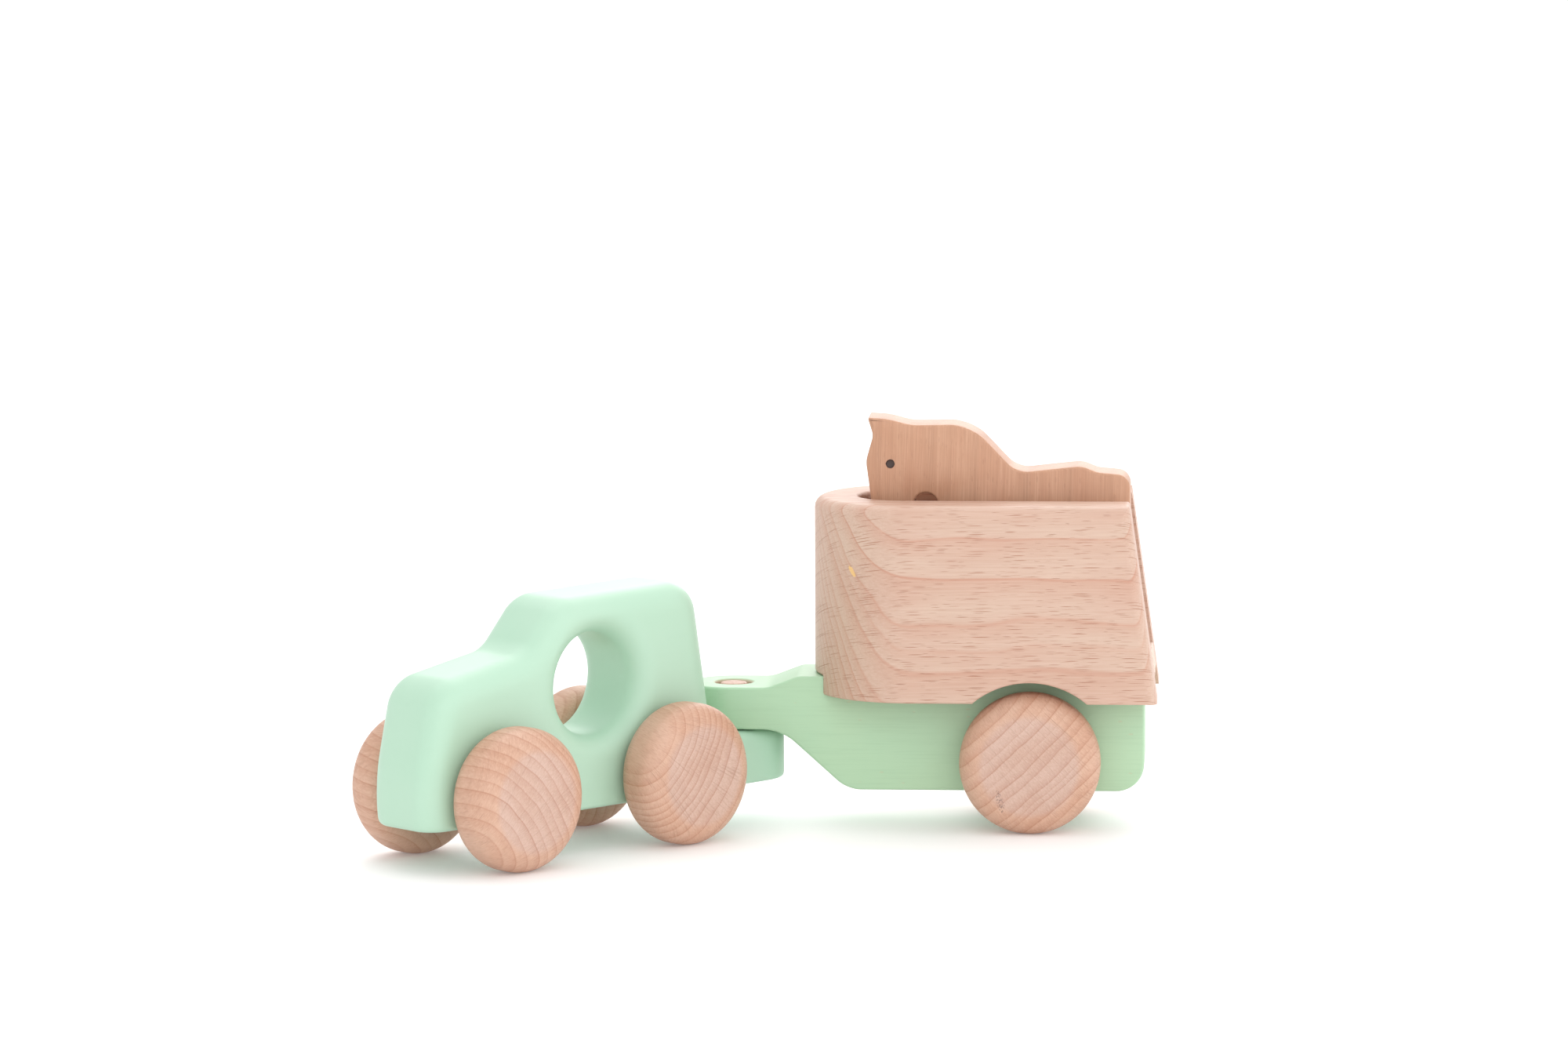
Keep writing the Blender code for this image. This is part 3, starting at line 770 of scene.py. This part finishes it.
def makeBox(look):
    half, front, back = look["half"], look["front"], look["uncut"]
    slot, deep = look["slotHalf"], look["slotFront"]
    nose, hollow = half * nearlyRound, slot * nearlyRound
    bm = block([(front, -half, nose), (back, -half, 0), (back, -slot, 0), (deep, -slot, hollow),
                (deep, slot, hollow), (back, slot, 0), (back, half, 0), (front, half, nose)],
               look["low"], look["high"], upright=True)
    lean = rearLean(look)
    sliceOff(bm, (look["rearLow"], 0, look["low"]), lean)
    rearPlace = Vector((look["rearLow"], 0, look["low"]))

    def onRear(edge):
        return all(abs((vert.co - rearPlace).dot(lean)) < 1e-5 for vert in edge.verts)

    def onTop(edge):
        return all(abs(vert.co.z - look["high"]) < tiny for vert in edge.verts)

    def isOuter(edge):
        flats = [(min(vert.co.x - front - half, 0), vert.co.y) for vert in edge.verts]
        return all(math.hypot(*flat) > half - 0.0004 for flat in flats)

    def onRim(edge):
        return onTop(edge) or onRear(edge)

    outer = sharpEdges(bm, lambda edge: isOuter(edge) and onRim(edge))
    roundEdges(bm, outer, look["edgeRound"], 8)
    inner = sharpEdges(bm, lambda edge: onRim(edge) and not isOuter(edge)
                       and min(vert.co.z for vert in edge.verts) > 0.05)
    roundEdges(bm, inner, look["rimEase"], 4)
    shell = looseObject("trailerBox", bm)
    axle = middleOf("trailer_axle") - pinPlace
    start, end = look["notchFrom"], look["notchTo"]
    notch = block([(start, -slot, 0), (end, -slot, 0), (end, slot, 0), (start, slot, 0)],
                  look["low"] - 0.01, look["notchTop"], upright=True)
    carve(shell, notch)
    arch = rod(look["archRadius"], -0.05, 0.05, segments=160, axis="Y")
    carve(shell, moved(arch, (axle.x, 0, look["archHeight"])))

    def easeUnder(bm):
        def isUnder(edge):
            first, second = (face.normal for face in edge.link_faces)
            if abs(first.z) > abs(second.z):
                first, second = second, first
            return abs(first.z) < 0.2 and second.z < -0.4 and isOuter(edge)
        roundEdges(bm, sharpEdges(bm, isUnder), look["underEase"], 3)
        moved(bm, pinPlace)

    reshape(shell, easeUnder)
    material = woodMaterial("beechBox", boxWood, middleOf("trailer_box"))
    finishPiece(shell, material, "trailer", "trailer_box")


makeBox(box)

# the floor board in the slot
deck = {"uncut": 0.1700, "ease": 0.0004}
deckWood = dict(boxWood, extras=[], outward=(0, 0.3, 1), pith=0.09,
                light=(0.80, 0.64, 0.53), warm=(0.77, 0.59, 0.47))


def makeDeck(look, walls):
    low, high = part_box("trailer_floor")
    half = (high.y - low.y) / 2
    front, back = low.x - pinPlace.x, look["uncut"]
    nose = half * nearlyRound
    bm = block([(front, -half, nose), (back, -half, 0), (back, half, 0), (front, half, nose)],
               low.z, high.z, upright=True)
    sliceOff(bm, (walls["rearLow"], 0, walls["low"]), rearLean(walls))
    roundEdges(bm, sharpEdges(bm), look["ease"], 2)
    moved(bm, pinPlace)
    material = woodMaterial("beechDeck", deckWood, middleOf("trailer_floor"))
    board = looseObject("trailerFloor", bm)
    finishPiece(board, material, "trailer", "trailer_floor")


makeDeck(deck, box)

# the horse, sawn from a flat board with upright grain
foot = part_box("horse")[0].z
horse = {
    "half": 0.0095,
    "outline": [(0.0486, 0.14549, 0.0006), (0.0506, 0.1392, 0.005), (0.0480, 0.1300, 0.008),
                (0.0500, 0.1150, 0.020), (0.0505, 0.0960, 0.0050), (0.0580, 0.0920, 0.0060),
                (0.0650, 0.0975, 0.0060), (0.0650, 0.1187, 0.0042), (0.0735, 0.1187, 0.0042),
                (0.0735, 0.0960, 0.010), (0.0745, foot, 0.0015), (0.0885, foot, 0.0015),
                (0.0905, 0.0960, 0.011), (0.1145, 0.0960, 0.011), (0.1175, foot, 0.0015),
                (0.1325, foot, 0.0015), (0.1340, 0.0860, 0.010), (0.1417, 0.1050, 0.012),
                (0.1417, 0.1252, 0.0050), (0.1300, 0.1262, 0.008), (0.1245, 0.1285, 0.008),
                (0.1015, 0.1260, 0.009), (0.0850, 0.1432, 0.017), (0.0640, 0.1428, 0.020),
                (0.0560, 0.1450, 0.020)],
    "ease": 0.0009,
    "eyePlace": (0.0567, 0.1291),
    "eyeRadius": 0.0015,
    "eyeDepth": 0.0007,
    "eyeEase": 0.0004,
}
horseWood = {
    "fibre": (0.02, 0, 1), "outward": (0.97, -0.24, 0), "pith": 0.16,
    "light": (0.555, 0.310, 0.195), "warm": (0.505, 0.257, 0.155), "dark": (0.37, 0.190, 0.110),
    "pore": (0.33, 0.165, 0.10), "pale": (0.76, 0.50, 0.36),
    "ringSpan": 0.1000, "ringShift": 0.0500,
    "rings": [(0.12, 0.5), (0.30, 0.55), (0.36, 0.25), (0.45, 0.6), (0.62, 0.7), (0.77, 0.6),
              (0.91, 0.4)],
    "ringFade": 0.0050, "ringLine": 0.0011, "ringBody": 0.45, "ringStrength": 0.55,
    "waveScale": (9, 30, 20), "waveDepth": 0.0040,
    "fineScale": (45, 2300, 2300), "fineStrength": 0.30,
    "flecks": [(0.0070, 0.00060, 0.25, 0.8, 0.22)],
    "roughness": 0.42, "bump": 0.00004,
}


def burntEye(tree, base):
    # the drilled eye is scorched, with a slightly ragged edge
    x, z = horse["eyePlace"]
    wide = horse["eyeRadius"] * 1.05
    mask = spotMask(tree, (pinPlace.x + x, 0, z), (wide, endless, wide), ragged=0.35)
    return blendColour(tree, mask, base, (0.055, 0.028, 0.022))


horseWood["extras"] = [burntEye]


def makeHorse(look):
    half = look["half"]
    bm = block(look["outline"], -half, half)
    roundEdges(bm, faceEdges(bm, 1, (-half, half)), look["ease"], 3)
    board = looseObject("horseBoard", bm)
    x, z = look["eyePlace"]
    for side in (-1, 1):
        depth = look["eyeDepth"]
        drill = rod(look["eyeRadius"], -depth, depth, segments=32, axis="Y")
        roundEdges(drill, faceEdges(drill, 1, (-depth, depth)), look["eyeEase"], 3)
        carve(board, moved(drill, (x, side * half, z)))
    reshape(board, lambda bm: moved(bm, pinPlace))
    material = woodMaterial("horseWood", horseWood, middleOf("horse"))
    finishPiece(board, material, "horse", "horse")


makeHorse(horse)
print("trailer and horse made")

# the floor, the light and the camera
stage = {"floorSize": 60.0, "floorColour": (0.88, 0.88, 0.88), "floorGlow": 0.12,
         "skyHorizon": 1.29, "skyZenith": 0.98, "skyLean": 0.25}
lamps = [
    {"place": (-0.3, 0.5, 1.7), "aim": (0, 0, 0.05), "size": 1.8, "power": 9.0},
    {"place": (0.3, 2.8, 1.7), "aim": (0, 0, 0.05), "size": 2.4, "power": 26.0},
    {"place": (0.7, -2.2, 1.1), "aim": (0, 0, 0.05), "size": 2.0, "power": 9.0},
]
camera = {"place": (0.16582, -2.32211, 0.40842), "turn": (82.7554, 0.2322, 3.8391),
          "lens": 154.15, "sensor": 36.0, "farthest": 100.0}


def makeStage(look):
    bm = bmesh.new()
    bmesh.ops.create_grid(bm, x_segments=8, y_segments=8, size=look["floorSize"] / 2)
    floor = looseObject("floor", bm)
    material, tree, shader = startMaterial("paleFloor")
    shader.inputs["Base Color"].default_value = (*look["floorColour"], 1)
    shader.inputs["Roughness"].default_value = 0.6
    shader.inputs["Emission Color"].default_value = (1, 1, 1, 1)
    shader.inputs["Emission Strength"].default_value = look["floorGlow"]
    floor.data.materials.append(material)
    world = bpy.data.worlds.new("softRoom")
    world.use_nodes = True
    tree = world.node_tree
    sky = tree.nodes["Background"]
    sky.inputs["Color"].default_value = (1, 1, 1, 1)
    where = tree.nodes.new("ShaderNodeTexCoord")
    split = tree.nodes.new("ShaderNodeSeparateXYZ")
    tree.links.new(where.outputs["Generated"], split.inputs[0])
    # dimmer on the left and overhead
    lean = spread(tree, split.outputs[0], -1.0, 1.0, 1 - look["skyLean"], 1 + look["skyLean"])
    rise = spread(tree, split.outputs[2], 0.0, 1.0, look["skyHorizon"], look["skyZenith"])
    plug(tree, sums(tree, "MULTIPLY", lean, rise), sky.inputs["Strength"])
    bpy.context.scene.world = world


def makeLamp(index, look):
    light = bpy.data.lights.new(f"softLamp{index}", "AREA")
    light.shape = "DISK"
    light.size = look["size"]
    light.energy = look["power"]
    lamp = bpy.data.objects.new(light.name, light)
    lamp.location = look["place"]
    lamp.visible_camera = False
    lamp.rotation_euler = (Vector(look["aim"]) - lamp.location).to_track_quat("-Z", "Y").to_euler()
    bpy.context.scene.collection.objects.link(lamp)


def makeCamera(look):
    lens = bpy.data.cameras.new("viewpoint")
    lens.lens = look["lens"]
    lens.sensor_width = look["sensor"]
    lens.clip_end = look["farthest"]
    seer = bpy.data.objects.new("viewpoint", lens)
    seer.location = look["place"]
    seer.rotation_euler = Euler([math.radians(angle) for angle in look["turn"]])
    bpy.context.scene.collection.objects.link(seer)
    bpy.context.scene.camera = seer


makeStage(stage)
for index, lamp in enumerate(lamps):
    makeLamp(index, lamp)
makeCamera(camera)
bpy.context.scene.view_settings.view_transform = "Standard"
print("stage, light and camera made")
